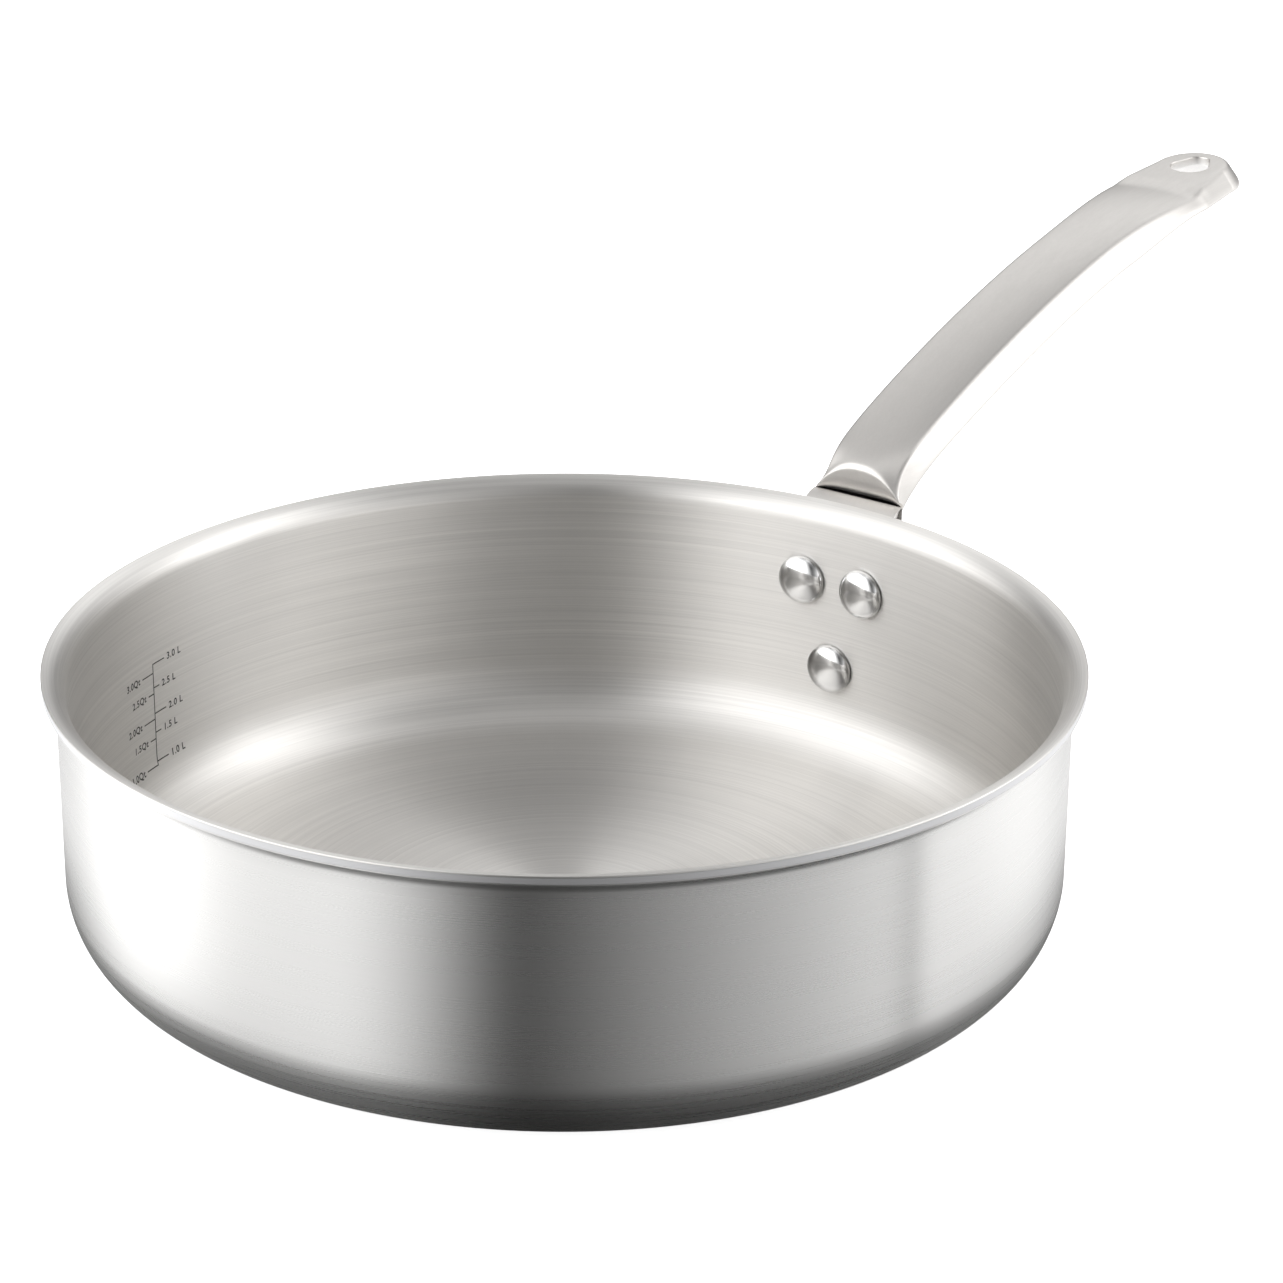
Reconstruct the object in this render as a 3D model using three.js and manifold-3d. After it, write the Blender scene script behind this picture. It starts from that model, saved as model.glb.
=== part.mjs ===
// Saute pan: a clad sheet body with a flared pouring rim, and an arched cast handle on three rivets.
// Millimetres, +Z up. The origin is the centre of the base's underside, and the handle points along +X.

import * as THREE from "three";
import { mergeVertices } from "three/addons/utils/BufferGeometryUtils.js";
import Module from "manifold-3d";

const wasm = await Module();
wasm.setup();

// Body: three bonded plies, pressed to a straight-walled bowl
const innerRadius = 140;
const bodyHeight = 83;
const innerPlyThickness = 0.5;
const corePlyThickness = 1.7;
const outerPlyThickness = 0.5;
const bondGap = 0.05;
const baseCornerRadius = 22;
const lipOverhang = 3.75;

// Rivets: domed heads inside the wall, upset tails on the handle's pad
const rivetSpacing = 22;
const upperRivetDrop = 25.2;
const lowerRivetMargin = 0.1;
const rivetHeadRadius = 7.8;
const rivetHeadHeight = 3.7;
const rivetHeadEdge = 0.5;
const rivetShankRadius = 3.5;
const rivetTailRadius = 5.6;
const rivetTailHeight = 2;
const rivetTailEdge = 0.6;
const shankClearance = 0.15;
const seatClearance = 0.1;

// Handle root: a pad curved to the wall, and a neck that clears the rim
const padClearance = 0.3;
const padThickness = 5;
const padUpperMargin = 3.6;
const padLowerMargin = 2.6;
const neckHalfWidth = 16.2;
const neckBlend = 9;
const neckFootDrop = 18;
const neckFootReach = 3.4;
const neckFootRise = 2.5;
const neckThickness = 12.5;
const ledgeDepth = 7;
const ledgeLift = 0.4;
const ledgeFall = 3.6;

// Grip: an arched bar with a crowned top, flared sides and a hollow underside. Past a fold near the tip,
// the top is a flat tab that lifts a little.
const gripLength = 228.2;
const gripRise = 48.6;
const tabLength = 36.7;
const tabRise = 3.5;
const tabBlend = 6;
const archHeight = 10.4;
const archFade = 2.2;
const archBand = 2.4;
const scoopDepth = 3.5;
const scoopLand = 0.4;
const ridgeRootReach = 3;
const ridgeRootRise = 6.6;
const ridgeFoldReach = 73.5;
const ridgeFoldRise = 1.2;
const crownHeight = 1.6;
const tabCrown = 0.2;
const crownPower = 2.4;
const gripHalfWidth = 13;
const neckWidthFade = 1.2;
const foldHalfWidth = 15.1;
const foldWidthBlend = 60;
const tabHalfWidth = 12.3;
const tipRound = 14;
const tipPower = 2;
const tipFullness = 0.1;
const sideDepth = 8.4;
const foldDepth = 4.5;
const slimLength = 50;
const lowEdgeRise = 1;
const sideFlare = 4.1;
const foldFlare = 3.8;
const tipFlare = 5;
const flareFade = 20;
const rootDrop = 10.2;
const rootFade = 9;
const gripWall = 3;
const hollowStart = 24;
const hollowRamp = 14;

// Hang hole: an egg outline, round towards the pan and narrower towards the tip
const holeLargeRadius = 6.6;
const holeSmallRadius = 4;
const holeLength = 17.1;
const holeTipMargin = 4.9;

// Facets
const bodySegments = 60;
const bendSteps = 5;
const rivetSegments = 20;
const domeSteps = 4;
const outlineSteps = 6;
const gripStations = 26;
const tabStations = 10;
const crownSteps = 8;
const scoopSteps = 3;
const tipSteps = [0.35, 0.7, 0.95];
const hollowStations = 16;
const pinchHalfWidth = 0.4;
const weldDistance = 1e-4;
const cutExtra = 2;

// Sizes worked out from the driving dimensions
const wall = innerPlyThickness + corePlyThickness + outerPlyThickness + 2 * bondGap;
const outerRadius = innerRadius + wall;
const rimRadius = outerRadius + lipOverhang;
const flareCentreZ = bodyHeight - wall - lipOverhang;
const cornerCentreRadius = outerRadius - baseCornerRadius;
const padInnerRadius = outerRadius + padClearance;
const padFaceRadius = padInnerRadius + padThickness;
const ledgeZ = bodyHeight + ledgeLift;
const rootX = rimRadius + ledgeDepth;
const tipX = rootX + gripLength;
const foldX = tipX - tabLength;
const roundX = tipX - tipRound;
const rivetAngle = rivetSpacing / 2 / innerRadius;
const upperRivetZ = bodyHeight - upperRivetDrop;
const lowerRivetZ = baseCornerRadius + rivetHeadRadius + lowerRivetMargin;
const facetShrink = Math.cos(Math.PI / bodySegments);
const headSeat = Math.sqrt(innerRadius ** 2 - rivetHeadRadius ** 2) * facetShrink - seatClearance;
const tailSeat = padFaceRadius + seatClearance;

const steel = new THREE.MeshStandardMaterial({ color: 0xc8c7c4, roughness: 0.3, metalness: 1 });
const magneticSteel = new THREE.MeshStandardMaterial({ color: 0xc2c2c1, roughness: 0.28, metalness: 1 });
const aluminium = new THREE.MeshStandardMaterial({ color: 0xd6d7d9, roughness: 0.45, metalness: 1 });
const castSteel = new THREE.MeshStandardMaterial({ color: 0xcfcdc9, roughness: 0.34, metalness: 1 });
const polishedSteel = new THREE.MeshStandardMaterial({ color: 0xd6d6d6, roughness: 0.12, metalness: 1 });

// Closed geometry to solid: corners are welded and slivers with a repeated corner are dropped.
function toSolid(geometry) {
  const plain = new THREE.BufferGeometry();
  plain.setAttribute("position", geometry.getAttribute("position"));
  plain.setIndex(geometry.getIndex());
  const welded = mergeVertices(plain, weldDistance);
  const corners = welded.getIndex().array;
  const kept = [];
  for (let i = 0; i < corners.length; i += 3) {
    const [a, b, c] = [corners[i], corners[i + 1], corners[i + 2]];
    if (a !== b && b !== c && c !== a) {
      kept.push(a, b, c);
    }
  }
  const vertProperties = new Float32Array(welded.getAttribute("position").array);
  const triVerts = new Uint32Array(kept);
  return new wasm.Manifold(new wasm.Mesh({ numProp: 3, vertProperties, triVerts }));
}

function toMesh(name, solid, material) {
  const { vertProperties, numProp, triVerts } = solid.getMesh();
  const geometry = new THREE.BufferGeometry();
  geometry.setAttribute("position", new THREE.BufferAttribute(vertProperties, numProp));
  geometry.setIndex(new THREE.BufferAttribute(triVerts, 1));
  geometry.computeVertexNormals();
  const mesh = new THREE.Mesh(geometry, material);
  mesh.name = name;
  return mesh;
}

function arcPoints(centre, radius, startAngle, endAngle, steps) {
  const points = [];
  for (let i = 0; i <= steps; i++) {
    const angle = startAngle + ((endAngle - startAngle) * i) / steps;
    points.push(new THREE.Vector2(Math.cos(angle), Math.sin(angle)).multiplyScalar(radius).add(centre));
  }
  return points;
}

function revolve(points, segments) {
  return new THREE.LatheGeometry(points, segments).rotateX(Math.PI / 2);
}

// Line of one sheet surface, from the axis over the base corner and up the wall to the rim's edge.
// The depth runs from 0 on the cooking surface to the full wall on the outside.
function sheetLine(depth) {
  const cornerCentre = new THREE.Vector2(cornerCentreRadius, baseCornerRadius);
  const flareCentre = new THREE.Vector2(rimRadius, flareCentreZ);
  const cornerRadius = baseCornerRadius - wall + depth;
  const flareRadius = lipOverhang + wall - depth;
  return [
    new THREE.Vector2(0, wall - depth),
    ...arcPoints(cornerCentre, cornerRadius, -Math.PI / 2, 0, bendSteps),
    ...arcPoints(flareCentre, flareRadius, Math.PI, Math.PI / 2, bendSteps),
  ];
}

function plySolid(innerDepth, outerDepth) {
  const loop = [...sheetLine(outerDepth), ...sheetLine(innerDepth).reverse()];
  return toSolid(revolve(loop, bodySegments));
}

// Places of the rivets, as a turn about the pan's axis and a height.
const rivetPlaces = [
  { name: "rivet_upper_right", angle: -rivetAngle, z: upperRivetZ },
  { name: "rivet_upper_left", angle: rivetAngle, z: upperRivetZ },
  { name: "rivet_lower", angle: 0, z: lowerRivetZ },
];

// A body of revolution drawn along its own axis, laid along +X and carried to a rivet's place.
function atRivet(geometry, place) {
  return geometry
    .rotateZ(-Math.PI / 2)
    .translate(0, 0, place.z)
    .rotateZ(place.angle);
}

function rivetHoles() {
  const radius = rivetShankRadius + shankClearance;
  const start = headSeat - cutExtra;
  const length = tailSeat + cutExtra - start;
  const holes = rivetPlaces.map((place) => {
    const drill = new THREE.CylinderGeometry(radius, radius, length, rivetSegments);
    drill.translate(0, start + length / 2, 0);
    return toSolid(atRivet(drill, place));
  });
  return holes.reduce((all, hole) => all.add(hole));
}

// Quarter outline of a low dome: a short straight edge, then an arc of an ellipse to the axis.
function domeLine(radius, height, edge, seat, direction) {
  const points = [];
  for (let i = 0; i <= domeSteps; i++) {
    const angle = (Math.PI / 2) * (i / domeSteps);
    const rise = edge + (height - edge) * Math.sin(angle);
    points.push(new THREE.Vector2(radius * Math.cos(angle), seat + direction * rise));
  }
  points[domeSteps].x = 0;
  return points;
}

function rivetSolid(place) {
  const head = domeLine(rivetHeadRadius, rivetHeadHeight, rivetHeadEdge, headSeat, -1).reverse();
  const tail = domeLine(rivetTailRadius, rivetTailHeight, rivetTailEdge, tailSeat, 1);
  const line = [
    ...head,
    new THREE.Vector2(rivetHeadRadius, headSeat),
    new THREE.Vector2(rivetShankRadius, headSeat),
    new THREE.Vector2(rivetShankRadius, tailSeat),
    new THREE.Vector2(rivetTailRadius, tailSeat),
    ...tail,
  ];
  return toSolid(atRivet(new THREE.LatheGeometry(line, rivetSegments), place));
}

// Side profile of the handle's root, turned about the pan's axis so that it follows wall and rim.
function rootRing() {
  const flareCentre = new THREE.Vector2(rimRadius, flareCentreZ);
  const flareRelief = lipOverhang - padClearance;
  const padBottom = lowerRivetZ - rivetTailRadius - padLowerMargin;
  const foot = new THREE.Vector2(padFaceRadius, bodyHeight - neckFootDrop);
  const footPull = new THREE.Vector2(padFaceRadius + neckFootReach, foot.y + neckFootRise);
  const neckBack = new THREE.Vector2(rimRadius + padClearance + neckThickness, ledgeZ);
  const back = new THREE.QuadraticBezierCurve(neckBack, footPull, foot);
  const loop = [
    new THREE.Vector2(padFaceRadius, padBottom),
    ...back.getPoints(outlineSteps).reverse(),
    new THREE.Vector2(rootX, ledgeZ),
    new THREE.Vector2(rimRadius + padClearance, ledgeZ - ledgeFall),
    new THREE.Vector2(rimRadius + padClearance, flareCentreZ + flareRelief),
    ...arcPoints(flareCentre, flareRelief, Math.PI / 2, Math.PI, bendSteps),
    new THREE.Vector2(padInnerRadius, padBottom),
    new THREE.Vector2(padFaceRadius, padBottom),
  ];
  return toSolid(revolve(loop, bodySegments));
}

// Front outline of the handle's root: round below the lower rivet, wide at the upper pair,
// then drawn in to the neck. Its straight flanks touch both circles.
function rootOutline() {
  const lowRadius = rivetTailRadius + padLowerMargin;
  const highRadius = rivetTailRadius + padUpperMargin;
  const side = rivetSpacing / 2;
  const climb = upperRivetZ - lowerRivetZ;
  const span = Math.hypot(side, climb);
  const flank = Math.atan2(climb, side) - Math.acos((lowRadius - highRadius) / span);
  const shape = new THREE.Shape();
  shape.moveTo(0, lowerRivetZ - lowRadius);
  shape.absarc(0, lowerRivetZ, lowRadius, -Math.PI / 2, flank, false);
  shape.absarc(side, upperRivetZ, highRadius, flank, 0, false);
  shape.bezierCurveTo(
    side + highRadius, upperRivetZ + neckBlend, neckHalfWidth, ledgeZ - neckBlend, neckHalfWidth, ledgeZ);
  shape.lineTo(-neckHalfWidth, ledgeZ);
  shape.bezierCurveTo(
    -neckHalfWidth, ledgeZ - neckBlend, -side - highRadius, upperRivetZ + neckBlend,
    -side - highRadius, upperRivetZ);
  shape.absarc(-side, upperRivetZ, highRadius, Math.PI, Math.PI - flank, false);
  shape.absarc(0, lowerRivetZ, lowRadius, Math.PI - flank, 1.5 * Math.PI, false);
  return shape;
}

function rootSolid() {
  const depth = rimRadius + neckThickness + cutExtra;
  const options = { depth, bevelEnabled: false, curveSegments: outlineSteps };
  const alongX = new THREE.Matrix4().makeBasis(
    new THREE.Vector3(0, 1, 0), new THREE.Vector3(0, 0, 1), new THREE.Vector3(1, 0, 0));
  const prism = new THREE.ExtrudeGeometry(rootOutline(), options).applyMatrix4(alongX);
  return rootRing().intersect(toSolid(prism));
}

// Ridge line of the grip: it leaves the neck steeply, arches over to the fold, and goes on straight.
const ridgeRoot = new THREE.Vector2(rootX, ledgeZ + archHeight);
const ridgeFold = new THREE.Vector2(foldX, ridgeRoot.y + gripRise);
const ridgeTip = new THREE.Vector2(tipX, ridgeFold.y + tabRise);
const archLine = new THREE.CubicBezierCurve(
  ridgeRoot,
  new THREE.Vector2(ridgeRoot.x + ridgeRootReach, ridgeRoot.y + ridgeRootRise),
  new THREE.Vector2(ridgeFold.x - ridgeFoldReach, ridgeFold.y + ridgeFoldRise),
  ridgeFold);
const tabLine = new THREE.LineCurve(ridgeFold, ridgeTip);

function fade(x, start, length) {
  return Math.exp(-(x - start) / length);
}

// Share of the tab's length that lies before a place, and share of the slimming before the fold.
function tabShare(x) {
  return THREE.MathUtils.clamp((x - foldX) / tabLength, 0, 1);
}

function slimShare(x) {
  return THREE.MathUtils.smoothstep(x, foldX - slimLength, foldX);
}

function flareAt(x) {
  const beforeFold = THREE.MathUtils.lerp(sideFlare, foldFlare, slimShare(x));
  const flare = THREE.MathUtils.lerp(beforeFold, tipFlare, tabShare(x));
  return flare * (1 - fade(x, rootX, flareFade));
}

// Half width of the grip's plan outline, grown outwards by a margin. It widens to the fold, and the tab
// tapers to a rounded end that is fuller for an outer line than for an inner one.
function outlineHalf(x, margin) {
  const widening = THREE.MathUtils.smoothstep(x, foldX - foldWidthBlend, foldX);
  const taper = THREE.MathUtils.clamp((x - foldX) / (roundX - foldX), 0, 1);
  const grip = THREE.MathUtils.lerp(gripHalfWidth, foldHalfWidth, widening);
  const spread = (neckHalfWidth - gripHalfWidth) * fade(x, rootX, neckWidthFade);
  const half = THREE.MathUtils.lerp(grip, tabHalfWidth, taper) + spread + margin;
  const along = Math.max(0, x - roundX) / (tipRound + margin);
  const power = tipPower + tipFullness * margin;
  return Math.max(pinchHalfWidth, half * Math.max(0, 1 - along ** power) ** (1 / power));
}

// Height of the sides' lower edge: the sides grow shallower towards the fold, and run down into the neck.
// Under the tab the edge lifts less than the top.
function lowEdgeZ(x, ridgeZ) {
  const line = x < foldX ? ridgeZ : ridgeFold.y + lowEdgeRise * tabShare(x);
  const depth = THREE.MathUtils.lerp(sideDepth, foldDepth, slimShare(x));
  return line - crownHeight - depth - rootDrop * fade(x, rootX, rootFade);
}

// Height by which a sloping end face has dropped, past the tip of an outline that is flared below.
function tipDrop(x, tip) {
  const faceHeight = ridgeTip.y - tabCrown - lowEdgeZ(tipX, ridgeTip.y);
  return (Math.max(0, x - tip) / tipFlare) * faceHeight;
}

// Height of the top's middle above its edges: an arch at the root, then a crown, nearly flat on the tab.
function crownAt(x) {
  const flat = THREE.MathUtils.smoothstep(x, foldX - tabBlend, foldX + tabBlend);
  const crown = THREE.MathUtils.lerp(crownHeight, tabCrown, flat);
  return crown + (archHeight - crown) * fade(x, rootX, archFade);
}

// Height that the rounded band at the front takes off the arch.
function bandDrop(x) {
  const short = 1 - THREE.MathUtils.clamp((x - rootX) / archBand, 0, 1);
  return archBand * (1 - Math.sqrt(1 - short ** 2));
}

// Points of a crowned line across the handle, from its left end to its right end.
function crownLine(x, half, endZ, rise) {
  const line = [];
  for (let i = 0; i <= crownSteps; i++) {
    const across = (2 * i) / crownSteps - 1;
    line.push(new THREE.Vector3(x, -across * half, endZ + rise * (1 - Math.abs(across) ** crownPower)));
  }
  return line;
}

// One cross-section of the grip: crowned top from edge to edge, then the two lower edges.
function gripRing(x, ridgeZ) {
  const crown = crownAt(x);
  const half = outlineHalf(x, 0);
  const lowHalf = outlineHalf(x, flareAt(x));
  const lowZ = lowEdgeZ(x, ridgeZ);
  const edgeZ = ridgeZ - crown - tipDrop(x, tipX);
  const rise = x < tipX ? crown - bandDrop(x) : 0;
  return [
    ...crownLine(x, half, edgeZ, rise),
    new THREE.Vector3(x, -lowHalf, lowZ),
    new THREE.Vector3(x, lowHalf, lowZ),
  ];
}

// One cross-section of the scoop in the grip's front: an arch above the ledge, shrunk to a share of its size.
function scoopRing(x, share) {
  const half = (neckHalfWidth - scoopLand) * share;
  const rise = (archHeight - archBand - scoopLand) * share;
  return [
    ...crownLine(x, half, ledgeZ, rise),
    new THREE.Vector3(x, -half, ledgeZ - cutExtra),
    new THREE.Vector3(x, half, ledgeZ - cutExtra),
  ];
}

// One cross-section of the hollow: flat ceiling under the top wall, sides parallel to the grip's.
function hollowRing(x, ridgeZ) {
  const ceilingTip = tipX - gripWall;
  const lowZ = lowEdgeZ(x, ridgeZ);
  const start = rootX + hollowStart;
  const ramp = THREE.MathUtils.clamp((x - start) / hollowRamp, 0, 1);
  const full = ridgeZ - gripWall - lowZ;
  const ceilingZ = lowZ + full * Math.sqrt(1 - (1 - ramp) ** 2) - tipDrop(x, ceilingTip);
  const half = outlineHalf(x, -gripWall);
  const lowHalf = outlineHalf(x, flareAt(x) - gripWall);
  const mouthZ = lowZ - cutExtra;
  return [
    new THREE.Vector3(x, half, Math.max(ceilingZ, lowZ)),
    new THREE.Vector3(x, -half, Math.max(ceilingZ, lowZ)),
    new THREE.Vector3(x, -lowHalf, lowZ),
    new THREE.Vector3(x, -lowHalf, mouthZ),
    new THREE.Vector3(x, lowHalf, mouthZ),
    new THREE.Vector3(x, lowHalf, lowZ),
  ];
}

// Closed loft through rings of equal length, with a fan of triangles over each end ring.
function loft(rings) {
  const count = rings[0].length;
  const last = (rings.length - 1) * count;
  const index = [];
  for (let r = 0; r + 1 < rings.length; r++) {
    for (let i = 0; i < count; i++) {
      const a = r * count + i;
      const b = r * count + ((i + 1) % count);
      index.push(a, b, a + count, b, b + count, a + count);
    }
  }
  for (let i = 1; i + 1 < count; i++) {
    index.push(0, i + 1, i);
    index.push(last, last + i, last + i + 1);
  }
  const geometry = new THREE.BufferGeometry().setFromPoints(rings.flat());
  return geometry.setIndex(index);
}

// Points of a line, close together at both ends where the form turns quickly.
function spacedPoints(line, count, first) {
  const points = [];
  for (let i = 0; i <= count; i++) {
    const share = (1 - Math.cos((Math.PI * i) / count)) / 2;
    points.push(line.getPoint(first + (1 - first) * share));
  }
  return points;
}

// Points along the ridge, from a parameter of the arch to the tip.
function ridgePoints(count, first) {
  return [...spacedPoints(archLine, count, first), ...spacedPoints(tabLine, tabStations, 0).slice(1)];
}

// Parameter at which the arch reaches a given X, found by halving.
function archParameter(x) {
  let [low, high] = [0, 1];
  while (high - low > weldDistance) {
    const middle = (low + high) / 2;
    [low, high] = archLine.getPoint(middle).x < x ? [middle, high] : [low, middle];
  }
  return high;
}

function gripSolid() {
  const rings = ridgePoints(gripStations, 0).map((point) => gripRing(point.x, point.y));
  for (const step of tipSteps) {
    rings.push(gripRing(tipX + tipFlare * step, ridgeTip.y));
  }
  return toSolid(loft(rings));
}

// The scoop goes in as a quarter of an ellipse, so it is deepest at the ledge.
function scoopSolid() {
  const rings = [scoopRing(rootX - cutExtra, 1)];
  for (let i = 0; i <= scoopSteps; i++) {
    const angle = ((Math.PI / 2) * i) / (scoopSteps + 1);
    rings.push(scoopRing(rootX + scoopDepth * Math.sin(angle), Math.cos(angle)));
  }
  return toSolid(loft(rings));
}

function hollowSolid() {
  const first = archParameter(rootX + hollowStart);
  const inside = ridgePoints(hollowStations, first).filter((point) => point.x < tipX - gripWall);
  const rings = inside.map((point) => hollowRing(point.x, point.y));
  for (const step of [0, ...tipSteps]) {
    rings.push(hollowRing(tipX - gripWall + tipFlare * step, ridgeTip.y));
  }
  return toSolid(loft(rings));
}

function hangHole() {
  const smallX = tipX - holeTipMargin - holeSmallRadius;
  const largeX = tipX - holeTipMargin - holeLength + holeLargeRadius;
  const lean = Math.acos((holeLargeRadius - holeSmallRadius) / (smallX - largeX));
  const shape = new THREE.Shape();
  shape.absarc(largeX, 0, holeLargeRadius, lean, 2 * Math.PI - lean, false);
  shape.absarc(smallX, 0, holeSmallRadius, -lean, lean, false);
  const depth = gripWall + crownHeight + 2 * cutExtra;
  const options = { depth, bevelEnabled: false, curveSegments: 2 * outlineSteps };
  const drill = new THREE.ExtrudeGeometry(shape, options);
  return toSolid(drill.translate(0, 0, ridgeTip.y + cutExtra - depth));
}

function handleSolid(holes) {
  const outside = gripSolid().subtract(scoopSolid()).add(rootSolid());
  return outside.subtract(hollowSolid()).subtract(hangHole()).subtract(holes);
}

const holes = rivetHoles();
const coreDepth = innerPlyThickness + bondGap;
const outerDepth = coreDepth + corePlyThickness + bondGap;

const body = new THREE.Group();
body.add(toMesh("inner_ply", plySolid(0, innerPlyThickness).subtract(holes), steel));
body.add(toMesh("core", plySolid(coreDepth, coreDepth + corePlyThickness).subtract(holes), aluminium));
body.add(toMesh("outer_ply", plySolid(outerDepth, wall).subtract(holes), magneticSteel));

const fittings = new THREE.Group();
fittings.add(toMesh("handle", handleSolid(holes), castSteel));
for (const place of rivetPlaces) {
  fittings.add(toMesh(place.name, rivetSolid(place), polishedSteel));
}

const pan = new THREE.Group();
pan.add(body, fittings);

export default pan;
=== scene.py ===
"""A brushed stainless saute pan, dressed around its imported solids.

Laid out as an add-on: sizes and colours are properties, and one operator makes each piece or
group of pieces. Lengths are metres in the frame of the solids: +X runs along the handle, +Z is up,
and the base stands on Z = 0.
"""

from typing import NamedTuple

import bmesh
import bpy
import numpy as np
from bpy.props import FloatProperty, FloatVectorProperty, IntProperty, PointerProperty
from mathutils import Matrix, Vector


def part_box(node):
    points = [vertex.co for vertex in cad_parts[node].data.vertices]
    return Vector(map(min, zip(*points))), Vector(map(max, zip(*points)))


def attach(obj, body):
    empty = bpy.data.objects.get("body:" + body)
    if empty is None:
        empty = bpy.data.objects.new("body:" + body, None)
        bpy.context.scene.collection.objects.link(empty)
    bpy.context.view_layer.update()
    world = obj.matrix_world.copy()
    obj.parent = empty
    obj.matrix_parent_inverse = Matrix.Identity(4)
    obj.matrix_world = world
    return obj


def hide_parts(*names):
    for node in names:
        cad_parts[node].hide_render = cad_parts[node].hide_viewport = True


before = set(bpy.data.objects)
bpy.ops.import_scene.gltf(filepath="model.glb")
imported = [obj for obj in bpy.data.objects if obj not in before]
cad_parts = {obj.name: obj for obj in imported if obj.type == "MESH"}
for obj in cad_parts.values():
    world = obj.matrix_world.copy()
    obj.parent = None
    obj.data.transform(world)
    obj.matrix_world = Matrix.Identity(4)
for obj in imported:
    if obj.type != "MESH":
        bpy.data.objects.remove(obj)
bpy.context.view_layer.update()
SHEET_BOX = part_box("inner_ply")

bl_info = {
    "name": "Saute pan",
    "version": (1, 0, 0),
    "blender": (4, 5, 0),
    "location": "3D View > Sidebar > Pan",
    "description": "Builds a riveted stainless saute pan and its studio",
    "category": "Object",
}

BODY = "root"
WELD = 1e-7  # points closer than this become one
TINY = 1e-6  # trim of a cut edge that isn't rounded
MIRROR = 1, -1, 1  # turns the handle's left half into its right half
RAW = "raw_casting"  # attribute of the points on raw skin
UV_MAP = "UVMap"
# Edges sharper than these angles, in degrees, stay sharp
SHEET_SHARP, HANDLE_SHARP, RIVET_SHARP = 50, 38, 40
MOST_OF_WAY = 0.4  # share of a face that a rounding may take
ROOT_STEPS, TAB_STEPS = 0.012, 0.008  # lengths with close steps past the root and before the fold
STRAIGHTENED = 0.005, 0.02  # distances from the root where normals stop being straight across
HOLE_APPROACH = 0.012  # length before the hang hole over which crossing lines begin to slant
CROWN_POWER = 2.4  # how squarely the handle's crowned top falls to its edges
SCOOP_POWER = 6  # how squarely the scoop ends at its two corners
LEDGE_POWER = 0.65  # how full the ledge's slope bulges
LATE_SWELL, LATE_POWER = 0.65, 1.6  # share of the neck's swelling that comes late, and how late
PAD_ROUND, NECK_ROUND = 22, 3.5  # powers of the back's rounding at the pad and at the ledge
HEAD_BULGE, TAIL_BULGE = 0.06, 0.1  # how much fuller than a round dome a rivet's head and tail are
LABEL_CAPITAL = 0.69  # height of the font's capitals at size 1
LABEL_SPACING, LABEL_BOLD = 1.1, 0.035
# Litre and quart heights above the underside, read off the scale on the wall
LITRES = {"3.0 L": 0.0513, "2.5 L": 0.0436, "2.0 L": 0.0352, "1.5 L": 0.0290, "1.0 L": 0.0195}
QUARTS = {"3.0Qt": 0.0484, "2.5Qt": 0.0417, "2.0Qt": 0.0334, "1.5Qt": 0.0270, "1.0Qt": 0.0183}


def length(default, about):
    return FloatProperty(description=about, default=default, unit="LENGTH", precision=5)


def share(default, about):
    return FloatProperty(description=about, default=default, subtype="FACTOR", min=0, max=1)


def tint(default, about):
    return FloatVectorProperty(
        description=about, default=default, subtype="COLOR", size=3, min=0, max=1
    )


def angle(default, about):
    return FloatProperty(description=about, default=np.radians(default), subtype="ANGLE")


class PanSheetSizes(bpy.types.PropertyGroup):
    rim_radius: length(SHEET_BOX[1].x, "Radius of the rim's cut edge")
    height: length(SHEET_BOX[1].z, "Height of the rim above the underside")
    inner_radius: length(0.140, "Radius of the cooking surface's wall")
    inner_ply: length(0.0005, "Thickness of the cooking sheet")
    core_ply: length(0.0017, "The same of the aluminium sheet")
    outer_ply: length(0.0005, "The same of the outer sheet")
    bond_gap: length(0.00005, "Gap kept between bonded sheets")
    corner_radius: length(0.022, "Outer bend between base and wall")
    edge_round: length(0.00022, "Rounding of the rim's two edges")
    segments: IntProperty(description="Steps round the pan", default=240, min=24)


class PanRivetSizes(bpy.types.PropertyGroup):
    spacing: length(0.022, "Distance between the two upper rivets along the wall")
    upper_height: length(0.0578, "Height of the upper rivets' axes")
    lower_height: length(0.0299, "Height of the lower rivet's axis")
    head_radius: length(0.0078, "Radius of the domed head inside the pan")
    head_height: length(0.0037, "Height of the domed head")
    head_seat: length(0.13949, "Distance of the head's back from the pan's axis")
    head_rim: length(0.0004, "Height of the straight edge round the head")
    shank_radius: length(0.0035, "Radius of the shank")
    tail_radius: length(0.0056, "Radius of the upset tail outside")
    tail_height: length(0.002, "Height of the upset tail")
    tail_seat: length(0.1482, "Distance of the tail's back from the pan's axis")


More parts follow.
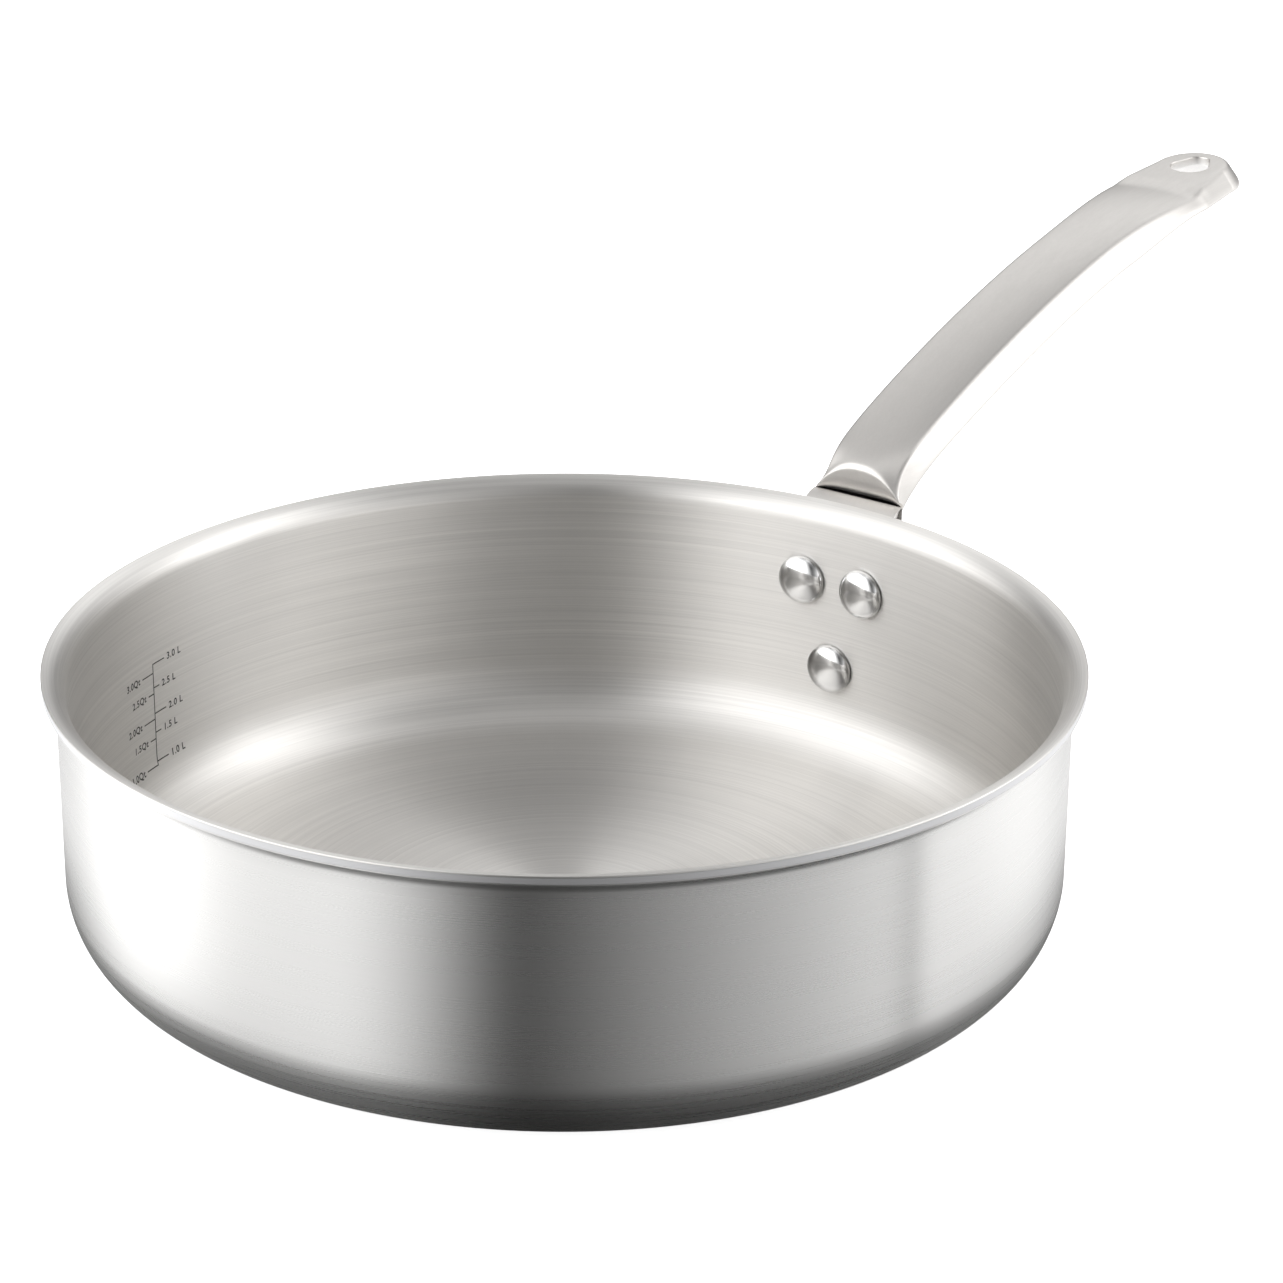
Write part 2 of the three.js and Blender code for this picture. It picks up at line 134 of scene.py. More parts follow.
class PanHandleSizes(bpy.types.PropertyGroup):
    root_x: length(0.15355, "Where the grip's front stands")
    tip_x: length(0.38175, "Where the grip's top ends")
    ledge_z: length(0.0834, "Height of the ledge in front of the grip")
    ledge_fall: length(0.0036, "Fall of the ledge towards the rim")
    rise: length(0.0486, "Rise of the ridge from root to fold")
    root_reach: length(0.0045, "Forward pull of the ridge at the root")
    root_rise: length(0.0066, "Upward pull there")
    fold_reach: length(0.0735, "Backward pull of the ridge at the fold")
    fold_rise: length(0.0012, "Upward pull there")
    fold_soft: length(0.0035, "Half the length over which the fold is evened out")
    fold_soft_start: length(0.02, "Where that softness starts, before the fold")
    fold_soft_full: length(0.006, "Where it is full, before the fold")
    tab_length: length(0.0367, "Length of the flat tab past the fold")
    tab_rise: length(0.0035, "Rise of the tab from fold to tip")
    tab_blend: length(0.006, "Half the length over which the crown flattens")
    tab_crown: length(0.0002, "Height of the tab's middle above its edges")
    arch_height: length(0.0104, "Height of the arch above the ledge")
    arch_fade: length(0.0035, "Length of the arch's fade into the crown")
    arch_band: length(0.0012, "Rounding between the top and the front")
    scoop_depth: length(0.0026, "Depth of the scoop in the front")
    scoop_land: length(0.0003, "Flat left round the scoop")
    crown_height: length(0.0009, "Height of the crowned top above its edges")
    ridge_drop: length(0.0007, "How much the grip's middle is ground down")
    half_width: length(0.013, "Half the top's width along the grip")
    neck_half_width: length(0.0162, "Half the width at the root")
    neck_fade: length(0.0012, "Length of the neck's fade into the grip")
    fold_half_width: length(0.0151, "Half the top's width at the fold")
    fold_width_blend: length(0.060, "Length of that widening")
    tab_half_width: length(0.0123, "Half the width where the tip's rounding starts")
    tip_round: length(0.014, "Length of the rounded tip")
    side_depth: length(0.0084, "Height of the side faces")
    fold_depth: length(0.0045, "The same at the fold")
    slim_length: length(0.050, "Length of that change")
    low_rise: length(0.001, "Rise of the sides' lower edge under the tab")
    side_flare: length(0.0041, "How far the sides lean outwards")
    fold_flare: length(0.0038, "The same at the fold")
    tip_flare: length(0.0047, "How far the end face leans outwards")
    lip: length(0.0017, "Height of the upright lip under the leaning sides")
    flare_fade: length(0.020, "Length of the lean's growth from the root")
    root_drop: length(0.0102, "Extra depth of the sides at the root")
    root_fade: length(0.009, "Length of that depth's fade")
    wall: length(0.003, "Wall round the hollow underside")
    hollow_start: length(0.024, "Distance of the hollow from the root")
    hollow_ramp: length(0.014, "Length of its start")
    top_round: length(0.0013, "Rounding between top and sides")
    low_round: length(0.0009, "Rounding of the lower edges")
    hole_large_radius: length(0.0066, "Radius of the hang hole's wide end")
    hole_small_radius: length(0.004, "The same at its narrow end")
    hole_length: length(0.0171, "Length of the hang hole")
    hole_margin: length(0.0049, "Material between hole and tip")
    hole_round: length(0.0006, "Rounding of the hang hole's edge")
    pad_inner: length(0.1431, "Radius of the pad's face on the wall")
    pad_outer: length(0.1481, "The same outside")
    pad_upper_radius: length(0.0092, "Round of the pad beside an upper rivet")
    pad_lower_radius: length(0.0082, "Round of the pad below the lower rivet")
    swell_drop: length(0.018, "Drop from the rim to where the pad starts to swell")
    neck_pull: length(0.009, "Upright pull of the curve from pad to neck")
    ledge_gap: length(0.0003, "Gap between the rim and the ledge's foot")
    neck_back: length(0.15935, "Distance of the neck's back at the ledge")


class PanMarkSizes(bpy.types.PropertyGroup):
    azimuth: angle(99.15, "Where the scale's line stands round the wall")
    line_width: length(0.00042, "Width of the lines")
    long_tick: length(0.006, "Length of a tick at a whole number")
    short_tick: length(0.003, "Length of a tick at a half")
    text_gap: length(0.0013, "Gap between tick and number")
    text_height: length(0.00215, "Height of the numbers")
    lift: length(0.00003, "Height of the marks above the steel")


class PanSteelLooks(bpy.types.PropertyGroup):
    cooking_tint: tint((0.705, 0.692, 0.672), "Colour of the cooking sheet")
    outer_tint: tint((0.705, 0.70, 0.69), "Colour of the outer sheet")
    core_tint: tint((0.66, 0.66, 0.67), "Colour of the aluminium edge")
    handle_tint: tint((0.615, 0.597, 0.576), "Colour of the cast handle")
    raw_tint: tint((0.82, 0.81, 0.80), "Colour of the raw skin inside the handle")
    rivet_tint: tint((0.76, 0.76, 0.76), "Colour of the rivets")
    mark_tint: tint((0.045, 0.044, 0.043), "Colour of the etched scale")
    cooking_roughness: share(0.40, "Roughness of the cooking sheet")
    outer_roughness: share(0.28, "Roughness of the outer sheet")
    core_roughness: share(0.4, "Roughness of the aluminium edge")
    handle_roughness: share(0.42, "Roughness of the handle")
    raw_roughness: share(0.65, "Roughness of the raw skin")
    rivet_roughness: share(0.13, "Roughness of the rivets")


class PanStageSettings(bpy.types.PropertyGroup):
    distance: length(1.0434, "From the camera to the middle of the rim")
    elevation: angle(22.44, "Height of the camera above the rim")
    turn: angle(-53.4, "Turn of the camera about the pan's axis")
    pan: angle(-1.17, "Small turn that frames the photograph")
    tilt: angle(0.11, "Small tilt that frames the photograph")
    roll: angle(0.04, "Small roll that frames the photograph")
    lens: FloatProperty(description="Focal length", default=103.82, unit="CAMERA")
    sensor: FloatProperty(description="Width of the film", default=36, unit="CAMERA")
    view_end: length(50.0, "Distance up to which the camera sees")
    floor_size: length(12.0, "Side of the floor")
    floor_drop: length(0.0002, "Gap between the floor and the base")
    floor_glow: share(0.8, "Light that the floor gives off itself, so it stays pale")
    floor_tint: tint((0.93, 0.93, 0.93), "Colour of the pale floor")
    shadow_tint: tint((0.01, 0.01, 0.01), "Colour of the contact shadow in the steel")
    shadow_start: length(0.155, "Distance from the axis where it starts to fade")
    shadow_end: length(0.195, "Distance from the axis where it has faded")


class PanSettings(bpy.types.PropertyGroup):
    sheets: PointerProperty(type=PanSheetSizes)
    rivets: PointerProperty(type=PanRivetSizes)
    handle: PointerProperty(type=PanHandleSizes)
    marks: PointerProperty(type=PanMarkSizes)
    steel: PointerProperty(type=PanSteelLooks)
    stage: PointerProperty(type=PanStageSettings)


# Surfaces as whole arrays


def smoothstep(x, low, high):
    """Cubic step from 0 at low to 1 at high: 3t squared minus 2t cubed."""
    t = np.clip((x - low) / (high - low), 0, 1)
    return t * t * (3 - 2 * t)


def between(a, b, t):
    """a at t = 0 and b at t = 1: a plus t times (b minus a)."""
    return a + (b - a) * t


def arc(centre, radius, start, end, steps):
    """Circle arc: centre plus radius times (cos a, sin a), at evenly spaced angles a."""
    a = np.linspace(start, end, steps)
    return np.stack([centre[0] + radius * np.cos(a), centre[1] + radius * np.sin(a)], -1)


def cubic(a, b, c, d, steps):
    """Cubic curve from a to d, pulled by b and c: (1-t)^3 a + 3t(1-t)^2 b + 3t^2(1-t) c + t^3 d."""
    t = np.linspace(0, 1, steps)[:, None]
    return (1 - t) ** 3 * a + 3 * t * (1 - t) ** 2 * b + 3 * t**2 * (1 - t) * c + t**3 * d


def travel(points):
    """Distance covered from the first point to each point of a line."""
    steps = np.linalg.norm(np.diff(points, axis=0), axis=-1)
    return np.concatenate([[0.0], np.cumsum(steps)])


def straight(a, b, steps):
    """Rows from a to b."""
    return between(a, b, np.linspace(0, 1, steps)[:, None, None])


def rounded(a, corner, b, steps):
    """Rows of a quadratic curve from a to b that bends round the corner:
    (1-t)^2 a + 2t(1-t) corner + t^2 b."""
    t = np.linspace(0, 1, steps)[:, None, None]
    return (1 - t) ** 2 * a + 2 * t * (1 - t) * corner + t**2 * b


def towards(a, b, reach):
    """Points that lie the given distance from a on the way to b, at most a set share of the way."""
    gap = np.linalg.norm(b - a, axis=-1, keepdims=True)
    return between(a, b, np.minimum(reach / np.maximum(gap, 1e-9), MOST_OF_WAY))


def grid_uv(grid):
    """Texture places in metres: along each row for U, down the columns for V."""
    across = np.linalg.norm(np.diff(grid, axis=1), axis=-1)
    down = np.linalg.norm(np.diff(grid, axis=0), axis=-1)
    u = np.pad(np.cumsum(across.mean(0)), (1, 0))
    v = np.pad(np.cumsum(down.mean(1)), (1, 0))
    return np.stack(np.meshgrid(u, v), -1)


def grid_faces(grids):
    """The points of all grids in one list, and a quad by corner numbers for each grid cell."""
    faces, start = [], 0
    for grid in grids:
        rows, columns = grid.shape[:2]
        index = start + np.arange(rows * columns).reshape(rows, columns)
        quads = np.stack([index[:-1, :-1], index[:-1, 1:], index[1:, 1:], index[1:, :-1]], -1)
        faces.append(quads.reshape(-1, 4))
        start += rows * columns
    return np.concatenate([grid.reshape(-1, 3) for grid in grids]), np.concatenate(faces)


def raw_rows(grids, raw_from):
    """1 for each point from the given row of its grid on, 0 for the others and for other grids."""
    firsts = [raw_from.get(number, len(grid)) for number, grid in enumerate(grids)]
    marks = [np.repeat(np.arange(len(g)) >= first, g.shape[1]) for g, first in zip(grids, firsts)]
    return np.concatenate(marks).astype(np.float32)


def add_piece(name, grids, material, sharp, raw_from):
    """One mesh from grids of points. Corners that meet are welded, so a row that shrinks to a point
    becomes a closed pole, and all faces are turned outwards. Grids numbered in raw_from are marked
    as raw casting from the given row on."""
    points, faces = grid_faces(grids)
    places = np.concatenate([grid_uv(grid).reshape(-1, 2) for grid in grids])
    mesh = bpy.data.meshes.new(name)
    mesh.from_pydata(points.tolist(), [], faces.tolist())
    raw = mesh.attributes.new(RAW, "FLOAT", "POINT")
    raw.data.foreach_set("value", raw_rows(grids, raw_from))
    layer = mesh.uv_layers.new(name=UV_MAP)
    layer.data.foreach_set("uv", places[faces.ravel()].astype(np.float32).ravel())
    work = bmesh.new()
    work.from_mesh(mesh)
    bmesh.ops.remove_doubles(work, verts=work.verts, dist=WELD)
    bmesh.ops.dissolve_degenerate(work, edges=work.edges, dist=WELD)
    bmesh.ops.recalc_face_normals(work, faces=work.faces)
    work.to_mesh(mesh)
    work.free()
    mesh.shade_smooth()
    mesh.set_sharp_from_angle(angle=np.radians(sharp))
    return place_piece(mesh, material)


def place_piece(mesh, material):
    piece = bpy.data.objects.new(mesh.name, mesh)
    bpy.context.scene.collection.objects.link(piece)
    mesh.materials.append(material)
    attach(piece, BODY)
    return piece


def revolve(line, segments):
    """Surface of revolution: a point (r, z) of the line at turn a lies at (r cos a, r sin a, z)."""
    a = np.linspace(0, 2 * np.pi, segments + 1)
    r, z = line[:, :1], line[:, 1:]
    return np.stack([r * np.cos(a), r * np.sin(a), np.broadcast_to(z, (len(line), len(a)))], -1)


# Body


def wall_thickness(s):
    return s.inner_ply + s.core_ply + s.outer_ply + 2 * s.bond_gap


def sheet_line(s, depth, trim):
    """Line of one sheet surface from the axis to the rim. The base runs out to the corner's arc,
    the wall rises to the flare's arc, and the flare turns outwards to the cut edge, short of it by
    the trim. Depth is 0 on the cooking surface and the whole wall outside."""
    wall = wall_thickness(s)
    corner = (s.inner_radius + wall - s.corner_radius, s.corner_radius)
    overhang = s.rim_radius - s.inner_radius
    flare = overhang - depth
    base = np.linspace(0, corner[0], 30)[:-1]
    base = np.stack([base, np.full_like(base, wall - depth)], -1)
    turn = arc(corner, s.corner_radius - wall + depth, -np.pi / 2, 0, 28)
    centre = (s.rim_radius, s.height - overhang)
    lip = arc(centre, flare, np.pi, np.pi - np.arccos(trim / flare), 18)
    rise = np.linspace(turn[-1, 1], lip[0, 1], 16)[1:-1]
    rise = np.stack([np.full_like(rise, turn[-1, 0]), rise], -1)
    return np.concatenate([base, turn, rise, lip])


def sheet_loop(s, inner, outer, inner_round, outer_round):
    """Closed line of a sheet: its outer surface out to the rim, the cut edge with its roundings,
    and its inner surface back."""
    low = sheet_line(s, outer, max(outer_round, TINY))
    high = sheet_line(s, inner, max(inner_round, TINY))
    edge = []
    if outer_round:
        centre = (s.rim_radius - outer_round, low[-1, 1] + outer_round)
        edge.append(arc(centre, outer_round, -np.pi / 2, 0, 6)[1:])
    if inner_round:
        centre = (s.rim_radius - inner_round, high[-1, 1] - inner_round)
        edge.append(arc(centre, inner_round, 0, np.pi / 2, 6)[:-1])
    return np.concatenate([low, *edge, high[::-1]])


# Handle


class GripForm:
    """Heights and widths of the grip as functions of X, from the handle's sizes."""

    def __init__(self, h):
        self.h = h
        self.fold_x = h.tip_x - h.tab_length
        self.round_x = h.tip_x - h.tip_round
        root = np.array([h.root_x, h.ledge_z + h.arch_height])
        fold = np.array([self.fold_x, root[1] + h.rise])
        tip = fold + (h.tab_length, h.tab_rise)
        pulls = root + (h.root_reach, h.root_rise), fold - (h.fold_reach, -h.fold_rise)
        curve = cubic(root, *pulls, fold, 2001)
        self.line_x, self.line_z = np.concatenate([curve, [tip, tip + (tip - fold)]]).T

    def line(self, x):
        """Height of the handle's line: a cubic curve from the root to the fold, then a straight
        tab. The fold is softened by the mean of the line over a length that grows from nothing."""
        h = self.h
        start, full = self.fold_x - h.fold_soft_start, self.fold_x - h.fold_soft_full
        soft = h.fold_soft * smoothstep(x, start, full)
        steps = np.linspace(-1, 1, 15)
        return np.mean([np.interp(x + step * soft, self.line_x, self.line_z) for step in steps], 0)

    def flat(self, x):
        """Share of the tab's flatness, from 0 before the fold to 1 past it."""
        return smoothstep(x, self.fold_x - self.h.tab_blend, self.fold_x + self.h.tab_blend)

    def ridge(self, x):
        """Height of the top's middle: the line, ground down a little along the grip."""
        return self.line(x) - self.h.ridge_drop * (1 - self.flat(x))

    def fade(self, x, reach):
        """What falls off from 1 at the root: e to the power of minus distance over reach."""
        return np.exp(-np.maximum(x - self.h.root_x, 0) / reach)

    def tab_share(self, x):
        """How far along the tab, from 0 at the fold to 1 at the tip."""
        return np.clip((x - self.fold_x) / self.h.tab_length, 0, 1)

    def slim_share(self, x):
        """How far the sides have grown shallow, from 0 to 1 at the fold."""
        return smoothstep(x, self.fold_x - self.h.slim_length, self.fold_x)

    def crown(self, x):
        """Height of the top's middle above its edges: an arch at the root, a crown, and nearly flat
        on the tab."""
        h = self.h
        crown = between(h.crown_height, h.tab_crown, self.flat(x))
        return between(crown, h.arch_height - h.ridge_drop, self.fade(x, h.arch_fade))

    def band(self, x):
        """Quarter-round drop of the top towards the front."""
        short = 1 - np.clip((x - self.h.root_x) / self.h.arch_band, 0, 1)
        return self.h.arch_band * (1 - np.sqrt(1 - short**2))

    def half(self, x):
        """Half width before the tip's rounding: the grip's own, widened at the neck and the fold,
        tapered on the tab."""
        h = self.h
        widened = smoothstep(x, self.fold_x - h.fold_width_blend, self.fold_x)
        grip = between(h.half_width, h.fold_half_width, widened)
        taper = np.clip((x - self.fold_x) / (self.round_x - self.fold_x), 0, 1)
        neck = (h.neck_half_width - h.half_width) * self.fade(x, h.neck_fade)
        return between(grip, h.tab_half_width, taper) + neck

    def flare(self, x):
        """How far the lower edge stands outside the top's edge."""
        h = self.h
        grip = between(h.side_flare, h.fold_flare, self.slim_share(x))
        return between(grip, h.tip_flare, self.tab_share(x)) * (1 - self.fade(x, h.flare_fade))

    def low(self, x):
        """Height of the sides' lower edge."""
        h = self.h
        line = self.line(np.minimum(x, self.fold_x)) + h.low_rise * self.tab_share(x)
        depth = between(h.side_depth, h.fold_depth, self.slim_share(x))
        root = h.root_drop * self.fade(x, h.root_fade)
        return line - h.crown_height - h.ridge_drop - depth - root

    def ceiling(self, x):
        """Height of the hollow's ceiling: it leaves the lower edge as a quarter ellipse and keeps a
        wall under the ridge."""
        h = self.h
        ramp = np.clip((x - h.root_x - h.hollow_start) / h.hollow_ramp, 0, 1)
        return between(self.low(x), self.ridge(x) - h.wall, np.sqrt(1 - (1 - ramp) ** 2))

    def top(self, plan):
        """Height of the crowned top: the ridge less the crown times a power of q, which is 0 on the
        middle and 1 on the outline."""
        x, y = plan[..., 0], np.abs(plan[..., 1])
        past = np.maximum(x - self.round_x, 0) / self.h.tip_round
        q = np.minimum(np.hypot(past, y / self.half(x)), 1)
        crown = self.crown(x)
        return self.ridge(x) - crown + (crown - self.band(x)) * (1 - q**CROWN_POWER)


def lifted(plan, z):
    """Plan points with heights."""
    return np.concatenate([plan, np.broadcast_to(z, plan.shape[:-1])[..., None]], -1)


def grip_outline(h, form):
    """Left outline of the top, from root to tip. Along the grip it is (x, half width), with close
    steps at the root and on the tab; round the tip it is an ellipse about the start of the
    rounding, taken by its polar angle."""
    start = form.round_x
    root_end, tab_start = h.root_x + ROOT_STEPS, form.fold_x - TAB_STEPS
    root = h.root_x + ROOT_STEPS * np.linspace(0, 1, 40) ** 1.6
    grip, tab = np.linspace(root_end, tab_start, 80), np.linspace(tab_start, start, 50)
    x = np.concatenate([root, grip[1:], tab[1:]])
    side = np.stack([x, form.half(x)], -1)
    a = np.linspace(np.pi / 2, 0, 44)[1:]
    r = 1 / np.hypot(np.cos(a) / h.tip_round, np.sin(a) / form.half(start))
    tip = np.stack([start + r * np.cos(a), r * np.sin(a)], -1)
    tip[-1] = h.tip_x, 0
    return np.concatenate([side, tip])


def outline_normals(h, outline):
    """Outward plan normals: the tangent turned a quarter left, straightened to +Y by the root."""
    tangent = np.gradient(outline, axis=0)
    normal = np.stack([-tangent[:, 1], tangent[:, 0]], -1)
    normal[:, 0] *= smoothstep(outline[:, 0] - h.root_x, *STRAIGHTENED)
    normal[-1] = 1, 0
    return normal / np.linalg.norm(normal, axis=-1, keepdims=True)


def hole_outline(h):
    """Left half of the hang hole: an arc of the large circle, the tangent line, an arc of the small
    circle."""
    small = h.tip_x - h.hole_margin - h.hole_small_radius
    large = h.tip_x - h.hole_margin - h.hole_length + h.hole_large_radius
    lean = np.arccos((h.hole_large_radius - h.hole_small_radius) / (small - large))
    wide = arc((large, 0), h.hole_large_radius, np.pi, lean, 40)
    return np.concatenate([wide, arc((small, 0), h.hole_small_radius, lean, 0, 24)])


def middle_line(h, outline):
    """Where each outline point's crossing line starts: straight across from it along the grip;
    near the tip the starts run, by equal shares of distance, up the middle and then round the hang
    hole's left side. One of them is the point where the hole begins."""
    hole = hole_outline(h)
    begin = hole[0, 0] - HOLE_APPROACH
    approach = np.linspace((begin, 0), (hole[0, 0], 0), 20)[:-1]
    path = np.concatenate([approach, hole])
    way, along = travel(path), travel(outline)
    hole_way = way[len(approach)]
    first = np.interp(begin, outline[:, 0], along)
    part = np.clip((along - first) / (along[-1] - first), 0, 1) * way[-1]
    part[np.argmin(np.abs(part - hole_way))] = hole_way
    x = np.where(along <= first, outline[:, 0], np.interp(part, way, path[:, 0]))
    y = np.where(along <= first, 0, np.interp(part, way, path[:, 1]))
    return np.stack([x, y], -1), part >= hole_way


def grip_half(h, form):
    """Left half of the grip as one grid. Each column goes from the middle over the crowned top,
    round the top edge, down the leaning side, round the lower edge, up inside the hollow and along
    its ceiling to the middle. Returns the grid, the number of rows down to the side, the first row
    inside, and the columns that border the hang hole."""
    outline = grip_outline(h, form)
    normal = outline_normals(h, outline)
    middle, on_hole = middle_line(h, outline)
    x = outline[:, 0]
    flare = form.flare(x)
    edge = lifted(outline, form.ridge(x) - form.crown(x))
    low = lifted(outline + normal * flare[:, None], form.low(x))
    lip = low + (0, 0, 1) * np.minimum(h.lip, MOST_OF_WAY * (edge - low)[:, 2:])
    inner_low = lifted(outline + normal * (flare - h.wall)[:, None], form.low(x))
    inner_edge = lifted(outline - normal * h.wall, form.ceiling(x))
    centre = lifted(middle, form.ceiling(middle[:, 0]))
    shoulder = towards(outline, middle, h.top_round)
    t = np.concatenate([[0, 0.012, 0.026, 0.042, 0.06, 0.085], np.linspace(0.12, 1, 18)])
    plan = between(middle, shoulder, t[:, None, None])
    gap = np.linalg.norm(plan - middle, axis=-1)
    short = np.clip(1 - gap / h.hole_round, 0, 1) * on_hole
    top = lifted(plan, form.top(plan) - h.hole_round * (1 - np.sqrt(1 - short**2)))
    side_high, side_low = towards(edge, lip, h.top_round), towards(lip, edge, h.lip)
    lip_low, land_out = towards(low, lip, h.low_round), towards(low, inner_low, h.low_round)
    land_in = towards(inner_low, low, h.low_round)
    wall_low = towards(inner_low, inner_edge, h.low_round)
    wall_high = towards(inner_edge, inner_low, h.top_round)
    roof = towards(inner_edge, centre, h.top_round)
    outside = [
        top,
        rounded(top[-1], edge, side_high, 8)[1:],
        straight(side_high, side_low, 5)[1:],
        rounded(side_low, lip, lip_low, 9)[1:],
        rounded(lip_low, low, land_out, 7)[1:],
        straight(land_out, land_in, 2)[1:],
    ]
    inside = [
        rounded(land_in, inner_low, wall_low, 7)[1:],
        straight(wall_low, wall_high, 4)[1:],
        rounded(wall_high, inner_edge, roof, 7)[1:],
        straight(roof, centre, 9)[1:],
    ]
    side_row, inside_row = (sum(map(len, rows)) for rows in (outside[:2], outside))
    return np.concatenate(outside + inside), side_row, inside_row, on_hole


def grip_front(h, column, side_row):
    """Front of the grip. The arch's edge is joined to a scoop under it, at angle a: it starts
    upright, goes back by depth times (1 - cos a), and falls to the ledge as (1 - sin a). A flat
    floor and a fan of faces under it close it."""
    mirrored = column * MIRROR
    arch = np.concatenate([column[:side_row][::-1], mirrored[1:side_row]])
    part = np.clip(arch[:, 1] / arch[0, 1], -1, 1)
    a = np.linspace(0, np.pi / 2, 18)[:, None]
    y = (h.neck_half_width - h.scoop_land) * part
    arch_top = h.arch_height - h.ridge_drop - h.arch_band - h.scoop_land
    z = h.ledge_z + arch_top * (1 - np.abs(part) ** CROWN_POWER) * (1 - np.sin(a))
    x = h.root_x + h.scoop_depth * (1 - np.cos(a)) * (1 - np.abs(part) ** SCOOP_POWER)
    scoop = np.stack(np.broadcast_arrays(x, y, z), -1)
    sill = np.stack(np.broadcast_arrays(h.root_x, y, h.ledge_z), -1)
    sides = mirrored[side_row:], column[side_row:][::-1]
    under = np.concatenate([arch[:1], sill, arch[-1:], *sides, arch[:1]])
    middle = np.broadcast_to((h.root_x, 0, (h.ledge_z + column[-1, 2]) / 2), under.shape)
    hollow = np.concatenate([arch[None], scoop])
    return [hollow, np.stack([sill, scoop[-1]]), np.stack([under, middle])]


def pad_outline(h, r):
    """Half widths and heights of the root's front outline: an arc below the lower rivet, a straight
    flank that touches both circles, an arc beside the upper rivet, then a cubic curve in to the
    neck."""
    side = r.spacing / 2
    climb = r.upper_height - r.lower_height
    tilt = np.arccos((h.pad_lower_radius - h.pad_upper_radius) / np.hypot(side, climb))
    lean = np.arctan2(climb, side) - tilt
    low = arc((0, r.lower_height), h.pad_lower_radius, -np.pi / 2, lean, 16)
    high = arc((side, r.upper_height), h.pad_upper_radius, lean, 0, 8)
    start, end = high[-1], np.array([h.neck_half_width, h.ledge_z])
    pull = 0, h.neck_pull
    neck = cubic(start, start + pull, end - pull, end, 40)
    return np.concatenate([low, high, neck[1:]])


def root_block(h, r, s):
    """Pad and neck. Each row is a height; across it the front lies on a circle that follows wall,
    flare and ledge, the back on a circle that swells from the pad to the neck, and the back rounds
    off to the front at both ends, more broadly towards the ledge. The lowest row has no width."""
    w, z = pad_outline(h, r).T
    flare = s.rim_radius - h.pad_inner
    start = h.ledge_z - h.ledge_fall
    climb = np.clip(z - (start - flare), 0, flare)
    bend = s.rim_radius - np.sqrt(np.clip(flare**2 - climb**2, 0, None))
    up = np.clip((z - start) / h.ledge_fall, 0, 1)
    slope = h.root_x - (h.root_x - s.rim_radius - h.ledge_gap) * (1 - up) ** LEDGE_POWER
    front = np.where(z > start, slope, bend)[:, None]
    foot_z = s.height - h.swell_drop
    t = np.clip((z - foot_z) / (h.ledge_z - foot_z), 0, 1)[:, None]
    back = between(h.pad_outer, h.neck_back, between(t, t**LATE_POWER, LATE_SWELL))
    part = np.sin(np.linspace(-np.pi / 2, np.pi / 2, 61))
    y = w[:, None] * part
    x_front, x_back = np.sqrt(front**2 - y**2), np.sqrt(back**2 - y**2)
    squareness = between(PAD_ROUND, NECK_ROUND, t)
    x_back = between(x_front, x_back, np.sqrt(1 - np.abs(part) ** squareness))
    height = np.broadcast_to(z[:, None], y.shape)
    front, back = (np.stack([x, y, height], -1) for x in (x_front, x_back))
    return [front, back, np.stack([front[-1], back[-1]])]


# Rivets and scale


def rivet_line(r):
    """Half section of a rivet as (radius, distance from the pan's axis): a superellipse dome for
    the head with a short rim, the shank, and a flatter dome for the tail."""
    a = np.linspace(0, np.pi / 2, 26)
    dome = (r.head_height - r.head_rim) * np.cos(a) ** (1 + HEAD_BULGE)
    radius = r.head_radius * np.sin(a) ** (1 - HEAD_BULGE)
    head = np.stack([radius, r.head_seat - r.head_rim - dome], -1)
    power = 1 - TAIL_BULGE
    dome = r.tail_height * np.sin(a) ** power
    tail = np.stack([r.tail_radius * np.cos(a) ** power, r.tail_seat + dome], -1)
    tail[-1, 0] = 0
    shank = [
        [r.head_radius, r.head_seat], [r.shank_radius, r.head_seat], [r.shank_radius, r.tail_seat]
    ]
    return np.concatenate([head, shank, tail])


def rivet_grid(r, turn, height):
    """Rivet line turned about its own axis, laid along X at its height, and turned about the pan's
    axis."""
    own = revolve(rivet_line(r), 64)
    x, y, z = own[..., 2], own[..., 0], own[..., 1] + height
    cos, sin = np.cos(turn), np.sin(turn)
    return np.stack([x * cos - y * sin, x * sin + y * cos, z], -1)


def on_wall(s, m, across, height):
    """Point of the cooking surface at a distance along the wall from the scale's line, positive to
    the right seen from inside. Its radius is the wall's, and below the corner's start the corner
    arc's."""
    wall = wall_thickness(s)
    drop = np.clip(s.corner_radius - np.asarray(height), 0, None)
    reach = np.sqrt((s.corner_radius - wall) ** 2 - drop**2)
    radius = s.inner_radius + wall - s.corner_radius - m.lift + reach
    turn = m.azimuth - np.asarray(across) / s.inner_radius
    return np.stack(np.broadcast_arrays(radius * np.cos(turn), radius * np.sin(turn), height), -1)


def stroke(s, m, across, low, high, rows):
    """Flat bar on the wall between two distances and two heights."""
    return on_wall(s, m, np.linspace(*across, 8), np.linspace(low, high, rows)[:, None])


